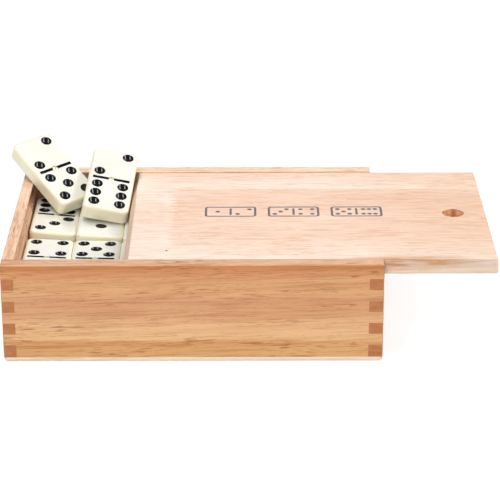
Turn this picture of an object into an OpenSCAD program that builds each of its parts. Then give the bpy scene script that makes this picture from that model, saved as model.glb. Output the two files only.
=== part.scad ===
// Wooden storage box for a double-nine set of dominoes, with a sliding lid.
// Millimetres. Origin: underside of the base, at the middle of the carcass.
// +X runs along the box, the way the lid slides open; -Y is the front; +Z is up.

/* [Carcass] */
// Outside length of the carcass
box_w = 190; // [186:1:210]
// Outside depth of the carcass
box_d = 139.4; // [138:0.2:160]
// Outside height of the carcass
box_h = 52.6; // [51:0.1:60]
// Thickness of the left wall
left_t = 6.5; // [5.5:0.1:8]
// Thickness of the right wall
right_t = 7.3; // [5.5:0.1:8]
// Thickness of the front and back walls
long_t = 8.3; // [7.5:0.1:10]
// Thickness of the glued-on base panel
base_t = 2.8; // [2:0.1:4]
// Radius of the base panel's lower edges
base_round = 2; // [1:0.1:2.4]
// Height of one finger of the corner joints
finger_h = 5.95; // [5:0.05:6.2]

/* [Lid] */
// Thickness of the lid
lid_t = 7; // [6:0.1:8]
// How far the top of the lid lies below the rim
lid_drop = 0.3; // [0.1:0.1:0.6]
// How far the lid stands open
lid_open = 56.8; // [50:0.1:60]
// Width of the bevel along the lid's front and back edges
bevel_w = 2.3; // [1.5:0.1:3]
// Width of the bevel along the lid's left end
end_bevel_w = 2.9; // [1.5:0.1:3]
// Height of the square edge that is left under the bevel
edge_h = 2.7; // [2:0.1:3.5]
// Sideways clearance of the lid in its groove
groove_gap = 0.25; // [0.2:0.05:0.6]
// Clearance between the lid and the ledge that it slides on
slide_gap = 0.05; // [0.02:0.01:0.2]
// Width of the lid's flat top, between its bevels
lid_top_d = 122.2; // [122:0.1:122.6]
// Diameter of the thumb hole
hole_d = 11.2; // [10:0.1:16]
// Distance of the thumb hole's centre from the lid's right end
hole_inset = 16.9; // [14:0.1:30]
// Depth of the rear board of the lid, from the lid's back edge
rear_board_d = 27.5; // [20:0.5:40]
// Distance of the finger joint of the two front boards from the lid's left end
joint_inset = 20.6; // [15:0.1:40]
// Length of the fingers between the two front boards
joint_finger = 5; // [3:0.5:8]
// Number of fingers between the two front boards
joint_count = 24; // [10:1:30]

/* [Dominoes] */
// Width of a domino
tile_w = 24.8; // [24:0.1:24.8]
// Length of a domino
tile_l = 49.6; // [48:0.1:49.8]
// Thickness of a domino
tile_t = 9.3; // [9:0.05:9.4]
// Radius of a domino's four upright corners
tile_corner = 3.2; // [2:0.1:4]
// Radius of a domino's other edges
tile_edge = 1.8; // [1:0.1:2.2]
// Diameter of a pip
pip_d = 6; // [4:0.1:6.2]
// Depth of a pip's dish
pip_deep = 1.1; // [0.5:0.05:1.3]
// Spacing of the pips across the domino
pip_across = 6.9; // [6.3:0.1:7.2]
// Spacing of the rows of pips along the domino
pip_along = 7.05; // [6.3:0.05:7.1]
// Distance of the first row of pips from the middle
pip_first = 5.25; // [5:0.05:5.5]
// Length of the engraved bar across the middle
bar_l = 19.9; // [16:0.1:21]
// Width of the engraved bar
bar_w = 1.9; // [1.2:0.1:2.2]
// Depth of the engraved bar
bar_deep = 0.7; // [0.3:0.05:1]
// Diameter of the brass spinner pin
spinner_d = 3.4; // [2.5:0.1:4]
// Length of the brass spinner pin
spinner_l = 3; // [2:0.1:5]

/* [Hidden] */
columns = 7;                               // columns of dominoes along the box
open_columns = 3;                          // columns whose top domino is a piece of its own

cut = 1;                                   // how far a cutting shape runs past the wood
pin_gap = 0.02;                            // radial clearance of a spinner in its domino
layer_gap = 0.02;                          // clearance between two layers of dominoes
front_row_y = -31.5;                       // middle of the front row of dominoes
rear_row_y = 19.6;                         // middle of the rear row of dominoes
pile_back = 0.5;                           // how far a rear pile lies before its top domino
layers = 4;                                // dominoes in a full column
lowest_finger = 6;                         // fingers of a joint, counted down from 0
arc = 32;                                  // sides of the round parts
corner_steps = 3;                          // flats that ease a domino's upright corner
edge_steps = 2;                            // flats that ease a domino's other edges

front_y = -box_d / 2;
back_y = box_d / 2;
left_x = -box_w / 2;
right_x = box_w / 2;

// The lid, at rest in the half-open place of the photograph
lid_top_z = box_h - lid_drop;
lid_low_z = lid_top_z - lid_t;
ledge_z = lid_low_z - slide_gap;
lid_right_x = right_x + lid_open;
lid_inset = 6.2;                           // left edge of the closed lid's flat top
lid_top_left_x = left_x + lid_inset + lid_open;
hole_x = lid_right_x - hole_inset;
hole_y = 0.7;                              // the hole sits a little behind the middle
bevel_h = lid_t - edge_h;
bevel_slope = bevel_w / bevel_h;
end_slope = end_bevel_w / bevel_h;

// Where the columns of dominoes stand along the box's length
front_x = [-75.9, -50.93, -26.05, -1.15, 23.72, 48.59, 73.46];
rear_x = [-75.75, -50.72, -25.75, -0.75, 24.12, 48.99, 73.86];
// How far the uppermost domino of each column has sunk to its right, in degrees;
// the dominoes under it lean less and less
front_tilt = [3.2, 1.2, 1.2, 0, 0, 0, 0];
rear_tilt = [5.2, 4.6, 2.7, 0, 0, 0, 0];
// Where the top dominoes of the first columns lie along the box's depth
top_front_y = [-29.9, -30.9, -31.3];
top_rear_y = [27.5, 23.6, 19.4];

// Numbers on the top dominoes, as [rear half, front half]
top_front_pips = [[4, 1], [5, 7], [5, 9]];
top_rear_pips = [[6, 3], [7, 1], [8, 2]];
// Numbers on the top dominoes of the covered columns 4 to 7
covered_front_pips = [[9, 9], [3, 0], [8, 8], [6, 4]];
covered_rear_pips = [[7, 7], [2, 2], [9, 4], [1, 0]];
// Dominoes in each covered column
covered_front_count = [4, 4, 4, 4];
covered_rear_count = [4, 3, 3, 3];

// The two dominoes that lean on the others: middle of the domino, then its turn
left_lean_at = [-77.92, 48.98, 56.48];
left_lean_turn = [27.32, -4.16, 39.83];
left_lean_pips = [2, 5];
right_lean_at = [-46.72, 37.03, 54.2];
right_lean_turn = [19.92, 11.02, -0.79];
right_lean_pips = [2, 6];

wood_end = [0.75, 0.49, 0.32];
wood_front = [0.84, 0.61, 0.43];
wood_side = [0.93, 0.74, 0.55];
wood_base = [0.94, 0.82, 0.66];
wood_lid = [0.98, 0.88, 0.80];
wood_lid_pink = [0.97, 0.83, 0.73];
ivory = [0.97, 0.96, 0.90];
brass = [0.85, 0.70, 0.35];

function column_x(row, column) = (row == "front" ? front_x : rear_x)[column - 1];

// How much more each domino of a column leans than the one under it
function tilt_step(row, column) =
    (row == "front" ? front_tilt : rear_tilt)[column - 1] / layers;

// Distance between the middles of two dominoes, square to the lower one, when
// the upper one leans by step more and touches with its right edge
function layer_rise(step) =
    tile_t / 2 + (tile_w / 2 - tile_edge) * sin(step)
    + (tile_t / 2 - tile_edge) * cos(step) + tile_edge + layer_gap;

function layer_z(row, column, layer) =
    let (step = tilt_step(row, column))
    layer == 0 ? base_t + layer_rise(step) - tile_t / 2
    : layer_z(row, column, layer - 1) + layer_rise(step) / cos(layer * step);

function has_top(column) = column <= open_columns;

function stack_count(row, column) =
    has_top(column) ? layers - 1
    : (row == "front" ? covered_front_count : covered_rear_count)[column - open_columns - 1];

function stack_pips(row, column) =
    has_top(column) ? [0, 0]
    : (row == "front" ? covered_front_pips : covered_rear_pips)[column - open_columns - 1];

function stack_y(row, column) =
    row == "front" ? front_row_y
    : has_top(column) ? top_rear_y[column - 1] - pile_back : rear_row_y;

function top_y(row, column) = (row == "front" ? top_front_y : top_rear_y)[column - 1];

function top_pips(row, column) =
    (row == "front" ? top_front_pips : top_rear_pips)[column - 1];

// Pips of one half as [column, row], counted from the bar
function pip_places(number) =
    number == 0 ? []
    : number == 1 ? [[0, 2]]
    : number == 2 ? [[1, 3], [-1, 1]]
    : number == 3 ? [[1, 3], [0, 2], [-1, 1]]
    : number == 4 ? [for (c = [-1, 1]) for (r = [1, 3]) [c, r]]
    : number == 5 ? concat(pip_places(4), [[0, 2]])
    : number == 6 ? [for (c = [-1, 1]) for (r = [1:3]) [c, r]]
    : number == 7 ? concat(pip_places(6), [[0, 2]])
    : number == 8 ? concat(pip_places(6), [[0, 1], [0, 3]])
    : [for (c = [-1:1]) for (r = [1:3]) [c, r]];

// A rectangle about the origin whose corners are eased by flats
function eased_rectangle(width, depth, radius, steps) =
    [for (quarter = [0:3]) for (i = [0:steps])
        let (a = 90 * (quarter + i / steps),
             sx = quarter == 0 || quarter == 3 ? 1 : -1,
             sy = quarter < 2 ? 1 : -1)
        [sx * (width / 2 - radius) + radius * cos(a),
         sy * (depth / 2 - radius) + radius * sin(a)]];

// ---- wood ----

// The lid as one solid with its bevels, pushed shut by the distance shut_by
// and grown sideways by gap; the groove reaches past the rim and the right end
module lid_solid(shut_by = 0, gap = 0, over = 0) {
    top_z = lid_top_z + over;
    half_top = lid_top_d / 2 + gap - over * bevel_slope;
    half_low = lid_top_d / 2 + bevel_w + gap;
    low_left = lid_top_left_x - end_bevel_w - gap - shut_by;
    top_left = lid_top_left_x - gap - shut_by + over * end_slope;
    end_x = lid_right_x + (over > 0 ? box_w : 0);
    low_z = over > 0 ? ledge_z : lid_low_z;
    intersection() {
        translate([low_left, 0, 0]) rotate([90, 0, 90])
            linear_extrude(end_x - low_left)
                polygon([[-half_low, low_z], [half_low, low_z],
                         [half_low, lid_low_z + edge_h], [half_top, top_z],
                         [-half_top, top_z], [-half_low, lid_low_z + edge_h]]);
        translate([0, half_low, 0]) rotate([90, 0, 0])
            linear_extrude(2 * half_low)
                polygon([[low_left, low_z], [end_x, low_z], [end_x, top_z],
                         [top_left, top_z], [low_left, lid_low_z + edge_h]]);
    }
}

// The groove that the closed lid fills, with its overhanging lip
module lid_groove() {
    lid_solid(shut_by = lid_open, gap = groove_gap, over = lid_drop + cut);
}

// The fingers of a side wall at one corner, from the ledge down to the base
module finger_blocks(x, y, size_x, size_y) {
    for (i = [0:2:lowest_finger]) {
        top = ledge_z - i * finger_h;
        low = i == lowest_finger ? base_t : top - finger_h;
        translate([x, y, low]) cube([size_x, size_y, top - low]);
    }
}

// Front or back wall: its fingers run through to the side faces
module long_wall(wall_y) {
    difference() {
        translate([left_x, wall_y, base_t]) cube([box_w, long_t, box_h - base_t]);
        finger_blocks(left_x, wall_y, left_t, long_t);
        finger_blocks(right_x - right_t, wall_y, right_t, long_t);
        lid_groove();
    }
}

module front_wall() {
    color(wood_front) long_wall(front_y);
}

module back_wall() {
    color(wood_side) long_wall(back_y - long_t);
}

// Side wall up to top_z between the long walls, with its fingers through them
module side_wall(wall_x, wall_t, top_z) {
    inside = box_d - 2 * long_t;
    translate([wall_x, -inside / 2, base_t]) cube([wall_t, inside, top_z - base_t]);
    for (y = [front_y, back_y - long_t])
        finger_blocks(wall_x, y, wall_t, long_t);
}

module left_wall() {
    color(wood_end) difference() {
        side_wall(left_x, left_t, box_h);
        lid_groove();
    }
}

module right_wall() {
    color(wood_end) side_wall(right_x - right_t, right_t, ledge_z);
}

// A bar's end view with its two lower corners rounded
module round_bottom(width) {
    inner_w = width - 2 * base_round;
    translate([-width / 2, base_round]) square([width, base_t - base_round]);
    translate([-inner_w / 2, 0]) square([inner_w, base_t]);
    intersection() {
        for (side = [-1, 1])
            translate([side * inner_w / 2, base_round]) circle(base_round, $fn = arc);
        translate([-width / 2, 0]) square([width, base_round]);
    }
}

module base_panel() {
    color(wood_base) intersection() {
        translate([0, back_y, 0]) rotate([90, 0, 0])
            linear_extrude(box_d) round_bottom(box_w);
        translate([left_x, 0, 0]) rotate([90, 0, 90])
            linear_extrude(box_w) round_bottom(box_d);
    }
}

// Plan of the joint between the two front boards, from the lid's left end
joint_x = lid_top_left_x + joint_inset;
lid_front_y = -lid_top_d / 2 - bevel_w;
lid_back_y = -lid_front_y;
board_y = lid_back_y - rear_board_d;
joint_pitch = (board_y - lid_front_y) / joint_count;

function joint_line() =
    [for (i = [0:2 * joint_count])
        [joint_x + (i % 2 == 0 ? -1 : 1) * joint_finger / 2,
         lid_front_y + i * joint_pitch / 2]];

module board_cut(outline) {
    intersection() {
        lid_solid();
        translate([0, 0, lid_low_z - cut])
            linear_extrude(lid_t + 2 * cut) polygon(outline);
    }
}

module lid_front_left_board() {
    far_left = lid_top_left_x - end_bevel_w - cut;
    color(wood_lid) board_cut(concat(
        [[far_left, board_y], [far_left, lid_front_y]], joint_line()));
}

module lid_front_right_board() {
    far_right = lid_right_x + cut;
    color(wood_lid_pink) difference() {
        board_cut(concat([[far_right, board_y], [far_right, lid_front_y]], joint_line()));
        translate([hole_x, hole_y, lid_low_z - cut])
            cylinder(h = lid_t + 2 * cut, d = hole_d, $fn = 2 * arc);
    }
}

module lid_rear_board() {
    far_left = lid_top_left_x - end_bevel_w - cut;
    far_right = lid_right_x + cut;
    color(wood_lid) board_cut([[far_left, board_y], [far_right, board_y],
                               [far_right, lid_back_y + cut], [far_left, lid_back_y + cut]]);
}

// ---- dominoes ----

// Domino body about its middle, lying flat, with eased corners and edges
module domino_blank() {
    intersection() {
        translate([0, 0, -tile_t / 2]) linear_extrude(tile_t)
            polygon(eased_rectangle(tile_w, tile_l, tile_corner, corner_steps));
        translate([0, tile_l / 2, 0]) rotate([90, 0, 0]) linear_extrude(tile_l)
            polygon(eased_rectangle(tile_w, tile_t, tile_edge, edge_steps));
        translate([-tile_w / 2, 0, 0]) rotate([90, 0, 90]) linear_extrude(tile_w)
            polygon(eased_rectangle(tile_l, tile_t, tile_edge, edge_steps));
    }
}

// Dishes of one half; the other half is the same, turned about the middle
module pip_dishes(number) {
    dish_r = (pow(pip_d / 2, 2) + pow(pip_deep, 2)) / (2 * pip_deep);
    for (place = pip_places(number))
        translate([place[0] * pip_across,
                   pip_first + (place[1] - 1) * pip_along,
                   tile_t / 2 - pip_deep + dish_r])
            sphere(dish_r, $fn = 2 * arc);
}

module domino(pips) {
    difference() {
        domino_blank();
        pip_dishes(pips[0]);
        rotate([0, 0, 180]) pip_dishes(pips[1]);
        translate([-bar_l / 2, -bar_w / 2, tile_t / 2 - bar_deep])
            cube([bar_l, bar_w, bar_deep + cut]);
        translate([0, 0, tile_t / 2 - spinner_l])
            cylinder(h = spinner_l + cut, d = spinner_d, $fn = arc);
    }
}

// Brass pin whose domed head ends flush with the face of its domino
module spinner() {
    pin_r = spinner_d / 2 - pin_gap;
    dome_h = 0.5;
    dome_r = (pow(pin_r, 2) + pow(dome_h, 2)) / (2 * dome_h);
    intersection() {
        translate([0, 0, tile_t / 2 - spinner_l + pin_gap])
            cylinder(h = spinner_l - pin_gap, r = pin_r, $fn = arc);
        translate([0, 0, tile_t / 2 - dome_r]) sphere(dome_r, $fn = 2 * arc);
    }
}

// Puts its children where layer number layer of a column lies
module in_layer(row, column, y, layer) {
    translate([column_x(row, column), y, layer_z(row, column, layer)])
        rotate([0, (layer + 1) * tilt_step(row, column), 0]) children();
}

module domino_top(row, column) {
    color(ivory) in_layer(row, column, top_y(row, column), layers - 1)
        domino(top_pips(row, column));
}

module spinner_top(row, column) {
    color(brass) in_layer(row, column, top_y(row, column), layers - 1) spinner();
}

// The dominoes under a top domino, or a whole column under the lid; only a
// domino whose face can be seen has its pips, as the others are covered
module stack(row, column) {
    last = stack_count(row, column) - 1;
    color(ivory) for (layer = [0:last])
        in_layer(row, column, stack_y(row, column), layer)
            domino(layer == last ? stack_pips(row, column) : [0, 0]);
}

module spinners(row, column) {
    color(brass) for (layer = [0:stack_count(row, column) - 1])
        in_layer(row, column, stack_y(row, column), layer) spinner();
}

module domino_leaning_left() {
    color(ivory) translate(left_lean_at) rotate(left_lean_turn) domino(left_lean_pips);
}

module spinner_leaning_left() {
    color(brass) translate(left_lean_at) rotate(left_lean_turn) spinner();
}

module domino_leaning_right() {
    color(ivory) translate(right_lean_at) rotate(right_lean_turn) domino(right_lean_pips);
}

module spinner_leaning_right() {
    color(brass) translate(right_lean_at) rotate(right_lean_turn) spinner();
}

base_panel();
front_wall();
back_wall();
left_wall();
right_wall();
lid_front_left_board();
lid_front_right_board();
lid_rear_board();
domino_leaning_left();
spinner_leaning_left();
domino_leaning_right();
spinner_leaning_right();
for (row = ["front", "rear"]) for (column = [1:open_columns]) {
    domino_top(row, column);
    spinner_top(row, column);
}
for (row = ["front", "rear"]) for (column = [1:columns]) {
    stack(row, column);
    spinners(row, column);
}
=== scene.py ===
"""Looks of a wooden storage box for a set of dominoes, with its lid slid half open."""

import math

import bmesh
import bpy
from mathutils import Euler, Matrix, Vector


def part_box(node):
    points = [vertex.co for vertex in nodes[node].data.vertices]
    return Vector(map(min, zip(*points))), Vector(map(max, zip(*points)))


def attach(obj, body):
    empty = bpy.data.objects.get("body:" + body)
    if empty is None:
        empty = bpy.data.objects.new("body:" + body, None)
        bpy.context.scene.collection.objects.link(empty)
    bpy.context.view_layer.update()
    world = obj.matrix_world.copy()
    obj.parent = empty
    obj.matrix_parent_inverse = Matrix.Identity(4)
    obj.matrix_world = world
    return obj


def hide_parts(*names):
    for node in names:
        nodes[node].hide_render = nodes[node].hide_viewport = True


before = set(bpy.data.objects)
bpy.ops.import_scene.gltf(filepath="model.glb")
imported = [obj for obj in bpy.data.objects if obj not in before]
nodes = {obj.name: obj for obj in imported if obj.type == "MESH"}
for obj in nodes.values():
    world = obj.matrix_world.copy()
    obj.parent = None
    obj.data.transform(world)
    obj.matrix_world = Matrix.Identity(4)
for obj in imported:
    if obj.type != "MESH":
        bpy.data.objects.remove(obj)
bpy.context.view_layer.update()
scene = bpy.context.scene
scene.view_settings.view_transform = "Standard"

MM = 0.001


def outline_of(*names):
    """The corners of the box round several nodes."""
    boxes = [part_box(name) for name in names]
    return (Vector([min(low[i] for low, _ in boxes) for i in range(3)]),
            Vector([max(high[i] for _, high in boxes) for i in range(3)]))


# ---- camera, floor and light ----

# the camera's place, turns and lens, fitted to the corners of the carcass
CAMERA_PLACE = Vector((27.4, -1004.55, 452.97)) * MM
CAMERA_PAN = math.radians(-0.07)
CAMERA_RISE = math.radians(90 - 22.75)
CAMERA_ROLL = math.radians(-0.103)
CAMERA_LENS, CAMERA_SENSOR = 148.74, 36
NEAREST, FARTHEST = 0.05, 30
WHITE = (1, 1, 1, 1)
# the strength of the surroundings, and how far off the strip lamps hang, in metres
AMBIENT, STRIP_REACH = 0.232, 1.4
# the floor's half width in metres, and its depth below the base
FLOOR_REACH, FLOOR_GAP = 4, 0.1 * MM
# the grey by which the floor lights the box, and the grey and glow that the camera sees
FLOOR_LIT, FLOOR_SEEN, FLOOR_GLOW = 0.85, 0.2, 0.88


def photo_camera():
    """A long lens, a metre in front of the box and looking down at it."""
    camera = bpy.data.objects.new("photo_camera", bpy.data.cameras.new("photo_camera"))
    camera.data.sensor_width = CAMERA_SENSOR
    camera.data.lens = CAMERA_LENS
    camera.data.clip_start = NEAREST
    camera.data.clip_end = FARTHEST
    camera.matrix_world = (
        Matrix.Translation(CAMERA_PLACE) @ Matrix.Rotation(CAMERA_PAN, 4, "Z")
        @ Matrix.Rotation(CAMERA_RISE, 4, "X") @ Matrix.Rotation(CAMERA_ROLL, 4, "Z"))
    scene.collection.objects.link(camera)
    scene.camera = camera


def studio_lamp(name, width, length, watts, middle, turn):
    """A rectangular lamp; turn is the rotation that points it."""
    light = bpy.data.lights.new(name, "AREA")
    light.shape = "RECTANGLE"
    light.size = width
    light.size_y = length
    light.energy = watts
    lamp = bpy.data.objects.new(name, light)
    lamp.matrix_world = Matrix.Translation(middle) @ turn.to_4x4()
    scene.collection.objects.link(lamp)


def softbox(name, place, aim, size, watts):
    """A square lamp that points at aim."""
    place = Vector(place)
    turn = (Vector(aim) - place).to_track_quat("-Z", "Y")
    studio_lamp(name, size, size, watts, place, turn.to_matrix())


def strip_lamp(name, low, high, width, watts):
    """A long narrow lamp above the box, between two directions as seen from it."""
    low, high = Vector(low).normalized() * STRIP_REACH, Vector(high).normalized() * STRIP_REACH
    along = (high - low).normalized()
    middle = (low + high) / 2
    back = (middle - middle.dot(along) * along).normalized()
    turn = Matrix((along.cross(back), along, back)).transposed()
    studio_lamp(name, width, (high - low).length, watts, middle, turn)


def seen_rays(tree, *kinds):
    """1 for camera rays and for rays of the other kinds that are named, else 0."""
    path = tree.nodes.new("ShaderNodeLightPath")
    seen = path.outputs["Is Camera Ray"]
    for kind in kinds:
        either = tree.nodes.new("ShaderNodeMath")
        either.operation = "MAXIMUM"
        tree.links.new(seen, either.inputs[0])
        tree.links.new(path.outputs[kind], either.inputs[1])
        seen = either.outputs[0]
    return seen


def shader_node(tree, kind, colour, strength=None):
    """The output of a plain shader of one colour."""
    node = tree.nodes.new(kind)
    node.inputs["Color"].default_value = colour
    if strength is not None:
        node.inputs["Strength"].default_value = strength
    return node.outputs[0]


def end_with(tree, kind, seen, lighting, shown):
    """Ends a tree: shown where seen is 1, and lighting elsewhere."""
    choose = tree.nodes.new("ShaderNodeMixShader")
    for socket, value in zip(choose.inputs, (seen, lighting, shown)):
        tree.links.new(value, socket)
    tree.links.new(choose.outputs[0], tree.nodes.new(kind).inputs["Surface"])


def studio_world():
    """Even surroundings, plain white where the camera looks past the box."""
    world = bpy.data.worlds.new("white_studio")
    scene.world = world
    world.use_nodes = True
    tree = world.node_tree
    tree.nodes.clear()
    end_with(tree, "ShaderNodeOutputWorld", seen_rays(tree),
             shader_node(tree, "ShaderNodeBackground", WHITE, AMBIENT),
             shader_node(tree, "ShaderNodeBackground", WHITE, 1))


def white_floor():
    """A pale sweep that keeps a soft shadow of the box."""
    bm = bmesh.new()
    bmesh.ops.create_grid(bm, x_segments=1, y_segments=1, size=FLOOR_REACH)
    bmesh.ops.translate(bm, vec=(0, 0, -FLOOR_GAP), verts=bm.verts)
    floor = mesh_object("studio_floor", bm)
    material = bpy.data.materials.new("white_paper")
    material.use_nodes = True
    tree = material.node_tree
    tree.nodes.clear()
    shown = tree.nodes.new("ShaderNodeAddShader")
    shaded = shader_node(tree, "ShaderNodeBsdfDiffuse", (*[FLOOR_SEEN] * 3, 1))
    tree.links.new(shaded, shown.inputs[0])
    glow = shader_node(tree, "ShaderNodeEmission", WHITE, FLOOR_GLOW)
    tree.links.new(glow, shown.inputs[1])
    end_with(tree, "ShaderNodeOutputMaterial", seen_rays(tree, "Is Glossy Ray"),
             shader_node(tree, "ShaderNodeBsdfDiffuse", (*[FLOOR_LIT] * 3, 1)),
             shown.outputs[0])
    floor.data.materials.append(material)


# ---- finishes ----

def tone(red, green, blue):
    """A colour as the eye reads it, 0 to 255, made linear for the shader."""
    def linear(value):
        value /= 255
        return value / 12.92 if value <= 0.04045 else ((value + 0.055) / 1.055) ** 2.4
    return (linear(red), linear(green), linear(blue), 1)


class Finish:
    """A material that is put together from nodes, with its Principled shader."""

    def __init__(self, name):
        self.material = bpy.data.materials.new(name)
        self.material.use_nodes = True
        self.tree = self.material.node_tree
        self.shader = self.tree.nodes["Principled BSDF"]
        coordinates = self.add("ShaderNodeTexCoord")
        self.place = coordinates.outputs["Object"]
        self.normal = coordinates.outputs["Normal"]

    def add(self, kind, settings=None, **sockets):
        node = self.tree.nodes.new(kind)
        for key, value in (settings or {}).items():
            setattr(node, key, value)
        for key, value in sockets.items():
            self.give(node, key, value)
        return node

    def give(self, node, key, value):
        socket = node.inputs[int(key[1:]) if key[0] == "i" and key[1:].isdigit() else key]
        if isinstance(value, bpy.types.NodeSocket):
            self.tree.links.new(value, socket)
        else:
            socket.default_value = value

    def maths(self, operation, first, second=0.0):
        return self.add("ShaderNodeMath", {"operation": operation}, i0=first, i1=second).outputs[0]

    def vectors(self, operation, first, second, third=(0, 0, 0)):
        node = self.add("ShaderNodeVectorMath", {"operation": operation},
                        i0=first, i1=second, i2=third)
        return node.outputs["Value" if operation == "DISTANCE" else "Vector"]

    def spread(self, value, low, high, to_low=0.0, to_high=1.0):
        return self.add("ShaderNodeMapRange", {"clamp": True}, i0=value, i1=low, i2=high,
                        i3=to_low, i4=to_high).outputs["Result"]

    def stretched(self, vector, scale, shift=(0, 0, 0), turn=0.0):
        return self.add("ShaderNodeMapping", Vector=vector, Location=shift,
                        Rotation=(0, 0, turn), Scale=scale).outputs[0]

    def noise(self, vector, detail=2.0, roughness=0.5, colour=False):
        node = self.add("ShaderNodeTexNoise", Vector=vector, Scale=1.0,
                        Detail=detail, Roughness=roughness)
        return node.outputs["Color" if colour else "Fac"]

    def ramp(self, value, stops):
        node = self.add("ShaderNodeValToRGB", Fac=value)
        marks = node.color_ramp.elements
        while len(marks) < len(stops):
            marks.new(1.0)
        for mark, (place, colour) in zip(marks, stops):
            mark.position = place
            mark.color = colour
        return node.outputs["Color"]

    def mixed(self, share, first, second, blend="MIX"):
        return self.add("ShaderNodeMix", {"data_type": "RGBA", "blend_type": blend},
                        i0=share, i6=first, i7=second).outputs[2]

    def tinted(self, share, colour, tint):
        return self.mixed(share, colour, tint, "MULTIPLY")

    def bumps(self, height, depth, strength):
        node = self.add("ShaderNodeBump", Height=height, Distance=depth, Strength=strength)
        self.give(self.shader, "Normal", node.outputs[0])

    def base(self, colour):
        self.give(self.shader, "Base Color", colour)

    def polish(self, pattern, where_low, where_high, gloss):
        """Roughness where the pattern is low and high, and the strength of reflections."""
        self.give(self.shader, "Roughness",
                  self.spread(pattern, 0.3, 0.7, where_low, where_high))
        self.give(self.shader, "Specular IOR Level", gloss)


# Repeats of a board's patterns in a metre: along the fibres, across them and into the board.
DRIFT, RIPPLE, SWIRL = (7, 38, 38), (40, 150, 150), (70, 620, 620)
CLOUDS, FIBRES, FLECK_GROUPS = (14, 46, 46), (26, 960, 960), (15, 110, 110)
DASHES, PORES = (115, 1700, 1700), (240, 2100, 2100)
END_STIPPLE, END_RINGS = (1100, 1100, 900), (60, 160, 700)
FIGURE_ALONG = 3
# how far drift and ripple bend the fibres, and where the dark dot starts and stops to fade
DRIFT_BY, RIPPLE_BY = 3 * MM, MM
DOT_INNER, DOT_OUTER = 0.4 * MM, 0.7 * MM


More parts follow.
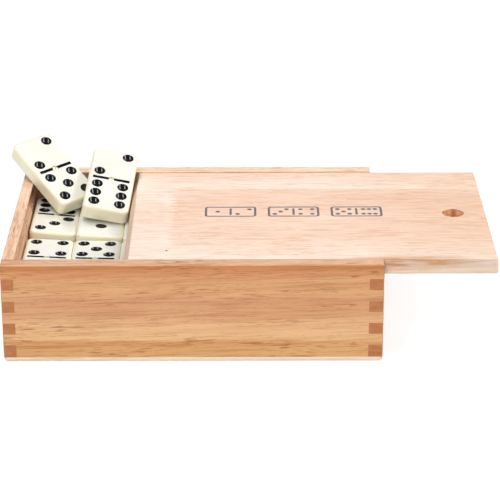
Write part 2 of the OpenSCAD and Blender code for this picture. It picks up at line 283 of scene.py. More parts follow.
def wood(name, seed, strips, span, across, grain, end, fleck, figure=270,
         figure_depth=0.8, fibre_depth=0.45, fleck_depth=0.75, dive=2, rim=None, bevel=None,
         mark=None, stain=None, fade=None):
    """Planed and oiled wood. strips are the tones of the board from one edge to the other,
    over span along the axis named across; grain is the axis that the fibres follow, and
    dive is the angle, in degrees, at which they run into the board. rim is the tone of
    faces that look up, a painted sheen and painted light from above, and bevel is painted
    shade that is multiplied into slanting ones. mark is the place of a dark dot; stain is
    (place, reach, tone) of a darker patch; fade is (from, to, tone) of painted
    shade that is multiplied in along the board, towards one end."""
    finish = Finish(name)
    white = tone(255, 255, 255)
    shift = (seed * 0.37, seed * 0.61, seed * 0.83)

    def pattern(vector, repeats, detail, roughness=0.5, **more):
        return finish.noise(finish.stretched(vector, repeats, shift), detail, roughness, **more)

    turn = 0.0 if grain == "X" else -math.pi / 2
    lying = finish.stretched(finish.place, (1, 1, 1), turn=turn)
    bent = finish.vectors("MULTIPLY_ADD", pattern(lying, DRIFT, 2, colour=True),
                          (0, DRIFT_BY, DRIFT_BY), lying)
    bent = finish.vectors("MULTIPLY_ADD", pattern(lying, RIPPLE, 1, colour=True),
                          (0, RIPPLE_BY, RIPPLE_BY), bent)
    back = -(DRIFT_BY + RIPPLE_BY) / 2
    bent = finish.vectors("ADD", bent, (0, back, back))
    diving = finish.add("ShaderNodeMapping", Vector=bent,
                        Rotation=(0, math.radians(dive), 0)).outputs[0]
    facing = finish.add("ShaderNodeSeparateXYZ", Vector=finish.normal)
    upward = finish.maths("ABSOLUTE", facing.outputs["Z"])

    # the tones of the strips, with the rim's painted sheen, the painted shade along the board and
    # the stain
    apart = finish.add("ShaderNodeSeparateXYZ", Vector=bent)
    board = finish.ramp(finish.spread(apart.outputs[across], *span), strips)
    # faces that look up take the rim tone: a painted sheen and painted light from above
    if rim:
        board = finish.mixed(finish.spread(upward, 0.85, 0.95), board, rim)
    # painted shade, multiplied in more and more towards one end of the board
    if fade:
        start, stop, fade_tone = fade
        board = finish.tinted(finish.spread(apart.outputs[grain], start, stop), board, fade_tone)
    if stain:
        place, reach, stain_tone = stain
        shrink = tuple(1 / length for length in reach)
        gap = finish.vectors("DISTANCE", finish.vectors("MULTIPLY", lying, shrink),
                             tuple(a * b for a, b in zip(place, shrink)))
        swirl = finish.noise(finish.stretched(bent, SWIRL, shift, 0.3), 2, 0.6)
        share = finish.maths("MULTIPLY", finish.spread(gap, 1.0, 0.35),
                             finish.spread(swirl, 0.40, 0.58, 0.4, 0.9))
        board = finish.mixed(share, board, stain_tone)

    # broad figure, clouds and fine fibres
    bands = pattern(diving, (FIGURE_ALONG, figure, figure), 4, 0.55)
    band_tone = finish.ramp(bands, [(0.34, tone(228, 206, 184)), (0.47, tone(249, 244, 238)),
                                    (0.62, white), (0.75, tone(242, 228, 212))])
    board = finish.tinted(figure_depth, board, band_tone)
    cloud_tone = finish.ramp(pattern(lying, CLOUDS, 3, 0.6),
                             [(0.35, tone(246, 230, 216)), (0.6, white)])
    board = finish.tinted(0.35, board, cloud_tone)
    fibres = pattern(diving, FIBRES, 2, 0.6)
    fibre_tone = finish.ramp(fibres, [(0.36, tone(206, 174, 146)), (0.50, white)])
    board = finish.tinted(fibre_depth, board, fibre_tone)

    # short dark flecks that lie in groups, and single pores
    groups = finish.spread(pattern(bent, FLECK_GROUPS, 2), 0.44, 0.60)
    dashes = finish.spread(pattern(diving, DASHES, 1), 0.56, 0.63)
    pores = finish.spread(pattern(diving, PORES, 1), 0.62, 0.70, 0, 0.4)
    dark = finish.maths("MAXIMUM", finish.maths("MULTIPLY", groups, dashes), pores)
    flecks = finish.maths("MULTIPLY", dark, fleck_depth)
    board = finish.mixed(flecks, board, fleck)
    # painted shade: the bevel tone is multiplied into faces that slant
    if bevel:
        slant_shade = finish.maths("MULTIPLY", finish.spread(upward, 0.2, 0.35),
                                finish.spread(upward, 0.97, 0.92))
        board = finish.tinted(slant_shade, board, bevel)

    # end grain, where a face cuts across the fibres
    across_fibres = finish.spread(finish.maths("ABSOLUTE", facing.outputs[grain]), 0.75, 0.9)
    stipple_tone = finish.ramp(pattern(lying, END_STIPPLE, 2, 0.6),
                               [(0.3, tone(190, 165, 148)), (0.6, white)])
    ring_tone = finish.ramp(pattern(lying, END_RINGS, 2),
                            [(0.35, tone(214, 196, 182)), (0.6, white)])
    end_wood = finish.tinted(0.4, finish.tinted(0.25, end, stipple_tone), ring_tone)
    board = finish.mixed(across_fibres, board, end_wood)
    if mark:
        gap = finish.vectors("DISTANCE", finish.place, mark)
        board = finish.mixed(finish.spread(gap, DOT_INNER, DOT_OUTER, 1.0, 0.0),
                             board, tone(50, 30, 26))

    finish.base(board)
    finish.polish(fibres, 0.46, 0.36, 0.4)
    finish.bumps(finish.maths("SUBTRACT", fibres, flecks), 0.04 * MM, 0.25)
    return finish.material


# from edge to edge of the boards, across their fibres
WALL_SPAN = (2.8 * MM, 52.6 * MM)
BASE_SPAN = (-70 * MM, 70 * MM)
LID_SPAN = (-63.4 * MM, 63.4 * MM)


def front_wood():
    strips = [(0.00, tone(226, 178, 122)), (0.10, tone(220, 168, 110)),
              (0.17, tone(216, 162, 106)), (0.20, tone(231, 188, 137)),
              (0.36, tone(229, 184, 136)), (0.46, tone(217, 164, 120)),
              (0.60, tone(213, 158, 114)), (0.68, tone(219, 167, 119)),
              (0.84, tone(217, 164, 114)), (0.90, tone(212, 154, 104)),
              (0.95, tone(204, 140, 86)), (1.00, tone(196, 122, 60))]
    # rim is a paler tone for the upward faces: a painted sheen and painted light from above
    return wood("front_wall_wood", 3, strips, WALL_SPAN, "Z", "X",
                tone(190, 126, 80), tone(160, 92, 52), figure_depth=0.55, fibre_depth=0.4,
                fleck_depth=0.85, rim=tone(220, 180, 150))


def back_wood():
    strips = [(0.0, tone(232, 186, 132)), (0.3, tone(238, 196, 146)),
              (0.6, tone(228, 180, 130)), (1.0, tone(246, 212, 166))]
    # rim is a paler tone for the upward faces: a painted sheen and painted light from above
    return wood("back_wall_wood", 7, strips, WALL_SPAN, "Z", "X",
                tone(196, 138, 92), tone(180, 112, 68), rim=tone(244, 218, 192))


def side_wood():
    # the strips are darker and more orange towards the bottom: painted shade with painted bounce
    # light from the wood round it
    strips = [(0.0, tone(228, 164, 102)), (0.4, tone(236, 181, 122)),
              (0.7, tone(236, 193, 149)), (1.0, tone(251, 225, 194))]
    # rim is a paler tone for the upward faces: a painted sheen and painted light from above
    return wood("side_wall_wood", 11, strips, WALL_SPAN, "Z", "Y",
                tone(190, 123, 74), tone(174, 104, 62), rim=tone(240, 209, 184))


def base_wood():
    strips = [(0.0, tone(246, 232, 211)), (0.5, tone(245, 229, 206)), (1.0, tone(246, 231, 208))]
    return wood("base_wood", 15, strips, BASE_SPAN, "Y", "X",
                tone(240, 214, 182), tone(222, 184, 142), fibre_depth=0.3, fleck_depth=0.4)


def lid_wood(name, strips, seed, **more):
    return wood(name, seed, strips, LID_SPAN, "Y", "X",
                tone(222, 188, 162), tone(206, 148, 112), figure=620, figure_depth=0.4,
                fibre_depth=0.32, fleck_depth=0.5, dive=4, **more)


def lid_left_wood():
    strips = [(0.0, tone(247, 228, 216)), (0.25, tone(246, 225, 212)),
              (0.5, tone(245, 221, 207)), (0.75, tone(247, 227, 214))]
    return lid_wood("lid_front_left_wood", strips, 19, mark=(-13.3 * MM, -49.5 * MM, 52.3 * MM))


def lid_right_wood():
    strips = [(0.0, tone(238, 217, 199)), (0.03, tone(243, 226, 213)),
              (0.10, tone(243, 223, 208)), (0.22, tone(240, 214, 196)),
              (0.38, tone(238, 210, 190)), (0.50, tone(240, 212, 192)),
              (0.64, tone(237, 206, 186)), (0.76, tone(239, 211, 192))]
    stain = ((108 * MM, -62 * MM, 51 * MM), (42 * MM, 7 * MM, 4 * MM), tone(200, 142, 86))
    # bevel is painted shade on the slanting faces, and the tone multiplied in towards the right
    # end is painted shade
    return lid_wood("lid_front_right_wood", strips, 23, bevel=tone(237, 240, 243), stain=stain,
                    fade=(60 * MM, 130 * MM, tone(247, 244, 240)))


def lid_rear_wood():
    strips = [(0.78, tone(244, 227, 214)), (0.86, tone(243, 225, 211)),
              (0.94, tone(241, 220, 205)), (1.0, tone(240, 216, 200))]
    # the tone multiplied in towards the right end is painted shade
    return lid_wood("lid_rear_wood", strips, 29,
                    fade=(70 * MM, 140 * MM, tone(249, 240, 232)))


def bored_wood():
    """The wall of the thumb hole, rough and darker beside one line down it."""
    finish = Finish("bored_lid_wood")
    layers = finish.noise(finish.stretched(finish.place, (500, 90, 900)), 3, 0.6)
    wall = finish.ramp(layers, [(0.3, tone(182, 118, 82)), (0.5, tone(226, 166, 124)),
                                (0.7, tone(236, 186, 144))])
    apart = finish.add("ShaderNodeSeparateXYZ", Vector=finish.place)
    # a darker line down the wall of the hole
    dark_line_x = HOLE_MIDDLE.x + 0.8 * MM
    beside = finish.maths("ABSOLUTE", finish.maths("SUBTRACT", apart.outputs["X"], dark_line_x))
    finish.base(finish.mixed(finish.spread(beside, 0.5 * MM, 2 * MM, 0.6, 0.0), wall,
                             tone(150, 88, 58)))
    finish.polish(layers, 0.8, 0.6, 0.3)
    finish.bumps(layers, 0.08 * MM, 0.5)
    return finish.material


def ivory_plastic():
    """Moulded plastic with a faint cloud in it; its face is painted whiter, less yellow, than its
    sides, as a painted sheen of the white surroundings.
    """
    finish = Finish("ivory_plastic")
    cloud = finish.noise(finish.stretched(finish.place, (60, 60, 60)), 3, 0.5)
    edge = finish.ramp(cloud, [(0.3, tone(239, 233, 206)), (0.7, tone(246, 241, 218))])
    face = finish.ramp(cloud, [(0.3, tone(223, 221, 210)), (0.7, tone(230, 229, 220))])
    facing = finish.add("ShaderNodeSeparateXYZ", Vector=finish.normal)
    upward = finish.maths("ABSOLUTE", facing.outputs["Z"])
    # the face tone, where the surface looks up, is a painted sheen; the sides keep the yellow body
    # tone
    finish.base(finish.mixed(finish.spread(upward, 0.7, 0.9), edge, face))
    wear = finish.noise(finish.stretched(finish.place, (300, 300, 300)), 2, 0.5)
    finish.polish(wear, 0.2, 0.27, 0.3)
    finish.give(finish.shader, "Subsurface Weight", 0.3)
    finish.give(finish.shader, "Subsurface Radius", (1, 0.9, 0.6))
    finish.give(finish.shader, "Subsurface Scale", 2.5 * MM)
    return finish.material


def black_paint(name, smoothest, roughest, gloss):
    """The paint in the marks of a domino: glossy in the dishes and dull in the bar."""
    finish = Finish(name)
    pooled = finish.noise(finish.stretched(finish.place, (900, 900, 900)), 2, 0.5)
    finish.base(finish.ramp(pooled, [(0.3, tone(3, 3, 5)), (0.7, tone(8, 8, 12))]))
    finish.polish(pooled, smoothest, roughest, gloss)
    finish.bumps(pooled, 0.01 * MM, 0.15)
    return finish.material


def brass(name, smoothest, roughest, dark, light):
    """The spinner pins, with fine marks from their turning."""
    finish = Finish(name)
    finish.give(finish.shader, "Metallic", 0.65)
    marks = finish.noise(finish.stretched(finish.place, (2600, 2600, 2600)), 3, 0.6)
    finish.base(finish.ramp(marks, [(0.3, dark), (0.7, light)]))
    finish.polish(marks, smoothest, roughest, 0.5)
    finish.bumps(marks, 0.01 * MM, 0.3)
    return finish.material


def lid_ink():
    """Grey stamp ink that sinks into the fibres of the lid."""
    finish = Finish("lid_stamp_ink")
    fibres = finish.noise(finish.stretched(finish.place, (40, 1300, 1300)), 3, 0.6)
    finish.base(finish.ramp(fibres, [(0.35, tone(96, 96, 110)), (0.6, tone(112, 110, 124)),
                                     (0.78, tone(150, 138, 142))]))
    finish.polish(fibres, 0.6, 0.8, 0.2)
    finish.bumps(fibres, 0.02 * MM, 0.3)
    return finish.material


# ---- mesh helpers ----

def mesh_object(name, bm):
    """Ends a bmesh as an object that sits at the origin."""
    mesh = bpy.data.meshes.new(name)
    bm.to_mesh(mesh)
    bm.free()
    thing = bpy.data.objects.new(name, mesh)
    scene.collection.objects.link(thing)
    return thing


def soften(thing, angle=35):
    """Smooth shading that stays crisp at sharp edges and where the finish changes."""
    mesh = thing.data
    mesh.shade_smooth()
    mesh.set_sharp_from_angle(angle=math.radians(angle))
    bm = bmesh.new()
    bm.from_mesh(mesh)
    for edge in bm.edges:
        if len({face.material_index for face in edge.link_faces}) > 1:
            edge.smooth = False
    bm.to_mesh(mesh)
    bm.free()
    weights = thing.modifiers.new("even_faces", "WEIGHTED_NORMAL")
    weights.keep_sharp = True
    weights.weight = 50
    return thing


def block(bm, size, middle=(0, 0, 0)):
    """A box of a size about a middle; gives its vertices."""
    made = bmesh.ops.create_cube(bm, size=1)["verts"]
    bmesh.ops.scale(bm, vec=size, verts=made)
    bmesh.ops.translate(bm, vec=middle, verts=made)
    return made


def upright_edges(bm):
    return [e for e in bm.edges if not at(e.verts[0].co.z, e.verts[1].co.z)]


def turned(bm, points, steps):
    """Spins a profile of (radius, height) points round the Z axis."""
    ring = [bm.verts.new((radius, 0, height)) for radius, height in points]
    lines = [bm.edges.new(pair) for pair in zip(ring, ring[1:])]
    bmesh.ops.spin(bm, geom=ring + lines, axis=(0, 0, 1), cent=(0, 0, 0),
                   angle=2 * math.pi, steps=steps, use_merge=True)


def dome(radius, rise):
    """The curve's radius and the half angle of a dome of this radius and rise."""
    curve = (radius ** 2 + rise ** 2) / (2 * rise)
    return curve, math.asin(radius / curve)


def round_over(bm, edges, radius, segments):
    bmesh.ops.bevel(bm, geom=edges, offset=radius, offset_type="OFFSET", segments=segments,
                    profile=0.5, affect="EDGES", clamp_overlap=False, material=-1)


def finish_piece(thing, materials, body, slot, *replaced):
    for material in materials:
        thing.data.materials.append(material)
    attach(thing, body)
    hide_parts(*replaced)


# ---- carcass ----

CARCASS_LOW, CARCASS_HIGH = outline_of("front_wall", "back_wall", "left_wall", "right_wall")
INNER_LOW = Vector((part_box("left_wall")[1].x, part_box("front_wall")[1].y))
INNER_HIGH = Vector((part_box("right_wall")[0].x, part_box("back_wall")[0].y))
# the slack in comparing places, and the turn in radians from which an edge is sharp
HAIR, SHARP = 0.01 * MM, 0.3
WALL_CORNER, WALL_RIM = 0.7 * MM, 0.25 * MM
BASE_CORNER, BASE_EDGE = 2.1 * MM, 2 * MM


def merged_board(node):
    """A copy of a board's solid with whole faces instead of triangles."""
    bm = bmesh.new()
    bm.from_mesh(nodes[node].data)
    bmesh.ops.remove_doubles(bm, verts=bm.verts, dist=0.001 * MM)
    bmesh.ops.dissolve_limit(bm, angle_limit=math.radians(0.5), verts=bm.verts,
                             edges=bm.edges, use_dissolve_boundaries=False)
    return bm


def at(value, *levels):
    """Whether a coordinate is at one of some levels."""
    return any(abs(value - level) < HAIR for level in levels)


def carcass_wall(name, node, material, slot):
    """A wall of the carcass: its outer corners and rim are sanded, its joints are crisp."""
    bm = merged_board(node)
    left, front, _ = CARCASS_LOW
    right, back, rim = CARCASS_HIGH
    outer, inner = [], []
    for edge in bm.edges:
        a, b = (vertex.co for vertex in edge.verts)
        side = at(a.x, left, right) and at(b.x, left, right) and at(a.x, b.x)
        face = at(a.y, front, back) and at(b.y, front, back) and at(a.y, b.y)
        top = at(a.z, rim) and at(b.z, rim)
        if (side and face) or (top and (side or face)):
            outer.append(edge)
        elif top and turns(edge, SHARP) and not hits_neighbour(a, b):
            inner.append(edge)
    round_over(bm, outer, WALL_CORNER, 3)
    round_over(bm, [edge for edge in inner if edge.is_valid], WALL_RIM, 2)
    finish_piece(soften(mesh_object(name, bm)), [material], "carcass", slot, node)


def turns(edge, least):
    """Whether two faces meet at an edge, at more than the least angle in radians."""
    return len(edge.link_faces) == 2 and edge.calc_face_angle() > least


def hits_neighbour(a, b):
    """Whether a rim edge lies along a joint with the next wall."""
    beside_x = at(a.x, b.x) and not INNER_LOW.x + HAIR < a.x < INNER_HIGH.x - HAIR
    return beside_x or (at(a.y, b.y) and at(a.y, INNER_LOW.y, INNER_HIGH.y))


def base_panel():
    """The glued-on bottom, with rounded lower edges."""
    low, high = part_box("base_panel")
    bm = bmesh.new()
    block(bm, high - low, (low + high) / 2)
    round_over(bm, upright_edges(bm), BASE_CORNER, 6)
    lower = [e for e in bm.edges
             if at(e.verts[0].co.z, low.z) and at(e.verts[1].co.z, low.z)]
    round_over(bm, lower, BASE_EDGE, 6)
    finish_piece(soften(mesh_object("base_board", bm)), [base_wood()],
                 "carcass", "base_wood", "base_panel")


# ---- lid ----

LID_LOW, LID_HIGH = outline_of("lid_front_left_board", "lid_front_right_board",
                               "lid_rear_board")
SEAM_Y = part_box("lid_rear_board")[0].y
HOLE_MIDDLE = Vector((LID_HIGH.x - 16.9 * MM, 0.7 * MM))
HOLE_RADIUS = 5.6 * MM
LID_EDGE, HOLE_EDGE = 0.4 * MM, 0.3 * MM


def lid_board(name, node, material, bored, slot):
    """A board of the lid: the outline is eased, the glued seams are left tight."""
    bm = merged_board(node)
    eased = [edge for edge in bm.edges if turns(edge, SHARP)
             and not any(is_glued(face) for face in edge.link_faces)]
    round_over(bm, [e for e in eased if not in_hole(e.verts[0].co)], LID_EDGE, 2)
    rims = [edge for edge in bm.edges if turns(edge, 0.8)
            and in_hole(edge.verts[0].co) and in_hole(edge.verts[1].co)]
    round_over(bm, rims, HOLE_EDGE, 3)
    for face in bm.faces:
        if in_hole(face.calc_center_median()) and abs(face.normal.z) < 0.6:
            face.material_index = 1
    finish_piece(soften(mesh_object(name, bm)), [material, bored], "lid", slot, node)


def is_glued(face):
    """Whether a face stands upright inside the lid's outline, or on its long seam."""
    middle = face.calc_center_median()
    if abs(face.normal.z) > 0.1 or in_hole(middle):
        return False
    return at(middle.y, SEAM_Y) or (LID_LOW.x + 3 * MM < middle.x < LID_HIGH.x - MM
                                    and LID_LOW.y + MM < middle.y < LID_HIGH.y - MM)


def in_hole(place):
    return (place.xy - HOLE_MIDDLE).length < HOLE_RADIUS + HAIR


# the stamped dominoes: outline, line, dots and their steps, then their place on the lid
PRINT_WIDE, PRINT_DEEP, PRINT_LINE, PRINT_DOT = 27 * MM, 14 * MM, 1.2 * MM, 1.25 * MM
PRINT_ROW, PRINT_COLUMN = 3.1 * MM, 3.3 * MM
PRINT_Y, PRINT_GAP, PRINT_THICK = 3 * MM, 0.02 * MM, 0.05 * MM
PRINTED = [(18.5 * MM, (1, 2)), (51.5 * MM, (3, 4)), (84.5 * MM, (5, 6))]


def pictogram(bm, x, y, ends):
    """A domino drawn in outline on the lid, lying along it."""

    def sheet(wide, deep, radius):
        others = set(bm.faces)
        made = bmesh.ops.create_grid(bm, x_segments=1, y_segments=1, size=0.5)["verts"]
        bmesh.ops.scale(bm, vec=(wide, deep, 1), verts=made)
        bmesh.ops.translate(bm, vec=(x, y, 0), verts=made)
        bmesh.ops.bevel(bm, geom=made, offset=radius, offset_type="OFFSET", segments=5,
                        profile=0.5, affect="VERTICES", clamp_overlap=False, material=-1)
        return next(face for face in bm.faces if face not in others)

    outline = sheet(PRINT_WIDE, PRINT_DEEP, 2 * MM)
    bmesh.ops.inset_region(bm, faces=[outline], thickness=PRINT_LINE, use_boundary=True,
                           use_even_offset=True)
    bmesh.ops.delete(bm, geom=[outline], context="FACES")
    sheet(PRINT_LINE, PRINT_DEEP - 5 * MM, 0.3 * MM)
    for side, number in zip((-1, 1), ends):
        for column, row in pip_places(number):
            spot = bmesh.ops.create_circle(bm, cap_ends=True, segments=20,
                                           radius=PRINT_DOT)["verts"]
            bmesh.ops.translate(bm, verts=spot, vec=(
                x + side * PRINT_WIDE / 4 + (row - 2) * PRINT_ROW, y + column * PRINT_COLUMN, 0))


def lid_print():
    """A row of three dominoes, stamped along the lid."""
    bm = bmesh.new()
    for x, ends in PRINTED:
        pictogram(bm, x, PRINT_Y, ends)
    for face in bm.faces:
        if face.normal.z < 0:
            face.normal_flip()
    bmesh.ops.translate(bm, vec=(0, 0, LID_HIGH.z + PRINT_GAP), verts=bm.verts)
    bmesh.ops.solidify(bm, geom=bm.faces[:], thickness=PRINT_THICK)
    bmesh.ops.recalc_face_normals(bm, faces=bm.faces)
    stamp = mesh_object("lid_stamp", bm)
    stamp.data.materials.append(lid_ink())
    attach(stamp, "lid")


# ---- dominoes ----

TILE = Vector((24.8, 49.6, 9.3)) * MM
TILE_CORNER, TILE_EDGE = 3.2 * MM, 1.8 * MM
PIP_RADIUS, PIP_DEEP, PIP_ABOVE, PIP_STEPS = 3 * MM, 1.1 * MM, 0.5 * MM, 5
# from pip to pip across and along the domino, and from its middle to the first row
ACROSS, ALONG, FIRST = 6.9 * MM, 7.05 * MM, 5.25 * MM
BAR = (19.9 * MM, 1.9 * MM, 1.4 * MM)
PIN_RADIUS, PIN_DOME, PIN_LENGTH, PIN_STEPS = 1.68 * MM, 0.5 * MM, 3 * MM, 6
BORE_RADIUS, BORE_DEEP = 1.72 * MM, 3 * MM
WELD = 0.002 * MM


def pip_places(number):
    """Columns and rows of the pips of one half, counted from the bar."""
    corners = [(-1, 1), (-1, 3), (1, 1), (1, 3)]
    sixes = [(c, r) for c in (-1, 1) for r in (1, 2, 3)]
    return {0: [], 1: [(0, 2)], 2: [(1, 3), (-1, 1)], 3: [(1, 3), (0, 2), (-1, 1)],
            4: corners, 5: corners + [(0, 2)], 6: sixes, 7: sixes + [(0, 2)],
            8: sixes + [(0, 1), (0, 3)],
            9: [(c, r) for c in (-1, 0, 1) for r in (1, 2, 3)]}[number]


def blank_domino():
    """A domino's body about its middle, face up."""
    bm = bmesh.new()
    block(bm, TILE)
    round_over(bm, upright_edges(bm), TILE_CORNER, 7)
    rims = [e for e in bm.edges if at(e.verts[0].co.z, e.verts[1].co.z) and turns(e, 1)]
    round_over(bm, rims, TILE_EDGE, 5)
    return bm


def dish(bm, x, y):
    """Adds the shape that presses one dished pip into a face."""
    curve, widest = dome(PIP_RADIUS, PIP_DEEP)
    points = [(curve * math.sin(widest * i / PIP_STEPS),
               curve - PIP_DEEP - curve * math.cos(widest * i / PIP_STEPS))
              for i in range(PIP_STEPS + 1)]
    points += [(PIP_RADIUS * 1.01, PIP_ABOVE), (0, PIP_ABOVE)]
    turned(bm, points, 24)
    bmesh.ops.remove_doubles(bm, verts=[v for v in bm.verts if not v.tag], dist=WELD)
    mine = [v for v in bm.verts if not v.tag]
    bmesh.ops.translate(bm, vec=(x, y, TILE.z / 2), verts=mine)
    for vertex in mine:
        vertex.tag = True


def marks_cutter(pips):
    """Pips and bar of a face as one cutting shape, with their two paints."""
    bm = bmesh.new()
    for half, number in zip((1, -1), pips):
        for column, row in pip_places(number):
            dish(bm, half * column * ACROSS, half * (FIRST + (row - 1) * ALONG))
    bar = block(bm, BAR, (0, 0, TILE.z / 2))
    bmesh.ops.recalc_face_normals(bm, faces=bm.faces)
    for face in bm.faces:
        face.material_index = 2 if face.verts[0] in bar else 1
    return mesh_object("marks_cutter", bm)


def pin_cutter():
    """The blind hole for a spinner pin, cut from a millimetre above the face."""
    bm = bmesh.new()
    bmesh.ops.create_cone(bm, cap_ends=True, segments=32, radius1=BORE_RADIUS,
                          radius2=BORE_RADIUS, depth=BORE_DEEP + MM)
    bmesh.ops.translate(bm, vec=(0, 0, TILE.z / 2 - (BORE_DEEP - MM) / 2), verts=bm.verts)
    return mesh_object("pin_cutter", bm)


def marked_domino(pips):
    """A domino's mesh with its face marked, about its middle."""
    body = mesh_object("domino_body", blank_domino())
    cutters = [marks_cutter(pips), pin_cutter()]
    for thing in [body, *cutters]:
        for finish in DOMINO_FINISHES:
            thing.data.materials.append(finish)
    for cutter in cutters:
        cut = body.modifiers.new(cutter.name, "BOOLEAN")
        cut.operation = "DIFFERENCE"
        cut.solver = "EXACT"
        cut.object = cutter
    depsgraph = bpy.context.evaluated_depsgraph_get()
    mesh = bpy.data.meshes.new_from_object(body.evaluated_get(depsgraph))
    for thing in [body, *cutters]:
        bpy.data.objects.remove(thing)
    return mesh


def domino_piece(name, body, placed, replaced):
    """One piece from (pips or None, place) pairs: a domino, or a pile of them."""
    bm = bmesh.new()
    for pips, place in placed:
        if pips is None:
            part = bpy.data.meshes.new("plain_domino")
            plain = blank_domino()
            plain.to_mesh(part)
            plain.free()
        else:
            part = marked_domino(pips)
        part.transform(place)
        bm.from_mesh(part)
        bpy.data.meshes.remove(part)
    finish_piece(soften(mesh_object(name, bm)), DOMINO_FINISHES, body, "ivory", replaced)


def spinner_piece(name, body, place, replaced):
    """A turned brass pin; its domed head ends level with the face, and its edge is painted dark as
    painted shade of the gap round the head.
    """
    curve, widest = dome(PIN_RADIUS, PIN_DOME)
    foot = TILE.z / 2 - PIN_LENGTH
    points = [(0, foot), (PIN_RADIUS, foot)]
    points += [(curve * math.sin(widest * (1 - i / PIN_STEPS)),
                TILE.z / 2 - curve + curve * math.cos(widest * (1 - i / PIN_STEPS)))
               for i in range(PIN_STEPS + 1)]
    bm = bmesh.new()
    turned(bm, points, 32)
    bmesh.ops.remove_doubles(bm, verts=bm.verts, dist=WELD)
    bmesh.ops.recalc_face_normals(bm, faces=bm.faces)
    # the outer edge of the head gets painted shade of the gap round it
    for face in bm.faces:
        if face.calc_center_median().xy.length > 0.86 * PIN_RADIUS:
            face.material_index = 1
    bmesh.ops.transform(bm, matrix=place, verts=bm.verts)
    finish_piece(soften(mesh_object(name, bm), 50), [BRASS, BRASS_GAP_SHADE], body, "brass", replaced)


# dominoes in a column, the gap from one to the next, and the degrees by which the top ones lean
LAYERS = 4
LAYER_GAP = 0.02 * MM
TILTS = {"front": (3.2, 1.2, 1.2, 0, 0, 0, 0), "rear": (5.2, 4.6, 2.7, 0, 0, 0, 0)}


def layer_rise(step):
    """Distance between the middles of two dominoes where the upper leans by step more."""
    return (TILE.z / 2 + (TILE.x / 2 - TILE_EDGE) * math.sin(step)
            + (TILE.z / 2 - TILE_EDGE) * math.cos(step) + TILE_EDGE + LAYER_GAP)


def middle_of(node):
    low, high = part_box(node)
    return (low + high) / 2


def top_domino(row, column, pips, body):
    """The uppermost domino of a column, sunk to its right by the column's tilt."""
    node = f"domino_top_{row}_{column}"
    tilt = math.radians(TILTS[row][column - 1])
    place = Matrix.Translation(middle_of(node)) @ Matrix.Rotation(tilt, 4, "Y")
    domino_piece(f"marked_domino_{row}_{column}", body, [(pips, place)], node)
    spinner_piece(f"brass_spinner_{row}_{column}", body, place, f"spinner_top_{row}_{column}")


def leaning_domino(side, middle, degrees, pips):
    """One of the two dominoes that lean on the others."""
    turn = Euler([math.radians(angle) for angle in degrees], "XYZ").to_matrix().to_4x4()
    place = Matrix.Translation(Vector(middle) * MM) @ turn
    body = f"leaning_{side}_domino"
    domino_piece(f"marked_domino_leaning_{side}", body, [(pips, place)], f"domino_leaning_{side}")
    spinner_piece(f"brass_spinner_leaning_{side}", body, place, f"spinner_leaning_{side}")


def pile(row, column, pips):
    """A column of dominoes, each leaning a little more than the one under it; only the
    uppermost shows its face."""
    node = f"stack_{row}_{column}"
    low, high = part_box(node)
    count = round((high.z - low.z) / TILE.z)
    middle = middle_of(node)
    step = math.radians(TILTS[row][column - 1]) / LAYERS
    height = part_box("base_panel")[1].z - TILE.z / 2
    placed = []
    for layer in range(count):
        height += layer_rise(step) / math.cos(layer * step)
        place = Matrix.Translation((middle.x, middle.y, height))
        lean = Matrix.Rotation((layer + 1) * step, 4, "Y")
        placed.append((pips if layer == count - 1 else None, place @ lean))
    domino_piece(f"domino_pile_{row}_{column}", "carcass", placed, node)
    for spare in nodes[f"spinners_{row}_{column}"].material_slots:
        spare.material = BRASS


# ---- the object ----

# the numbers on each column's domino, from left to right; the rear half's number comes first
TOP_PIPS = {"front": [(4, 1), (5, 7), (5, 9)], "rear": [(6, 3), (7, 1), (8, 2)]}
PILE_PIPS = {"front": [(6, 5), (3, 3), (9, 1), (9, 9), (3, 0), (8, 8), (6, 4)],
             "rear": [(5, 3), (6, 6), (4, 2), (7, 7), (2, 2), (9, 4), (1, 0)]}
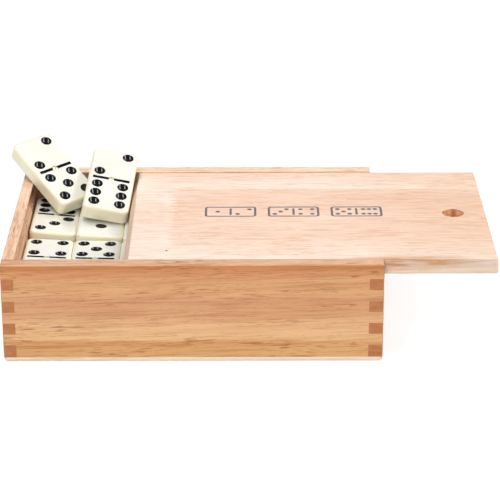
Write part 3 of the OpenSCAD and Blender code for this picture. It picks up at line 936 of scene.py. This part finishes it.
# the top dominoes that can be lifted out on their own
RIDERS = {("front", 1): "front_domino_1", ("front", 2): "front_domino_2"}

photo_camera()
white_floor()
studio_world()
softbox("front_softbox", place=(-0.3, -1.35, 0.85), aim=(0, 0, 0.03), size=1.2, watts=12.1)
strip_lamp("right_strip", low=(0.42, 0.55, 0.72), high=(0.75, -0.3, 0.6), width=0.2,
           watts=9.65)
strip_lamp("overhead_strip", low=(-0.22, 0.35, 0.91), high=(-0.18, -0.44, 0.88), width=0.2,
           watts=8.3)

carcass_wall("front_board", "front_wall", front_wood(), "front_wood")
carcass_wall("back_board", "back_wall", back_wood(), "back_wood")
SIDE = side_wood()
carcass_wall("left_board", "left_wall", SIDE, "side_wood")
carcass_wall("right_board", "right_wall", SIDE, "side_wood")
base_panel()

BORED = bored_wood()
lid_board("lid_board_front_left", "lid_front_left_board", lid_left_wood(), BORED,
          "lid_wood_pale")
lid_board("lid_board_front_right", "lid_front_right_board", lid_right_wood(), BORED,
          "lid_wood_pink")
lid_board("lid_board_rear", "lid_rear_board", lid_rear_wood(), BORED, "lid_wood_pale")
lid_print()

DOMINO_FINISHES = [ivory_plastic(), black_paint("black_pip_paint", 0.07, 0.12, 0.45),
                   black_paint("black_bar_paint", 0.5, 0.65, 0.15)]
BRASS = brass("polished_brass", 0.3, 0.42, tone(228, 214, 172), tone(247, 240, 216))
# painted shade of the gap round the pin heads, put on their outer edge
BRASS_GAP_SHADE = brass("brass_painted_gap_shade", 0.16, 0.3, tone(160, 136, 84), tone(194, 172, 120))
for row in ("front", "rear"):
    for column, pips in enumerate(TOP_PIPS[row], 1):
        top_domino(row, column, pips, RIDERS.get((row, column), "carcass"))
    for column, pips in enumerate(PILE_PIPS[row], 1):
        pile(row, column, pips)
leaning_domino("left", middle=(-77.92, 48.98, 56.48), degrees=(27.32, -4.16, 39.83),
               pips=(2, 5))
leaning_domino("right", middle=(-46.72, 37.03, 54.2), degrees=(19.92, 11.02, -0.79),
               pips=(2, 6))
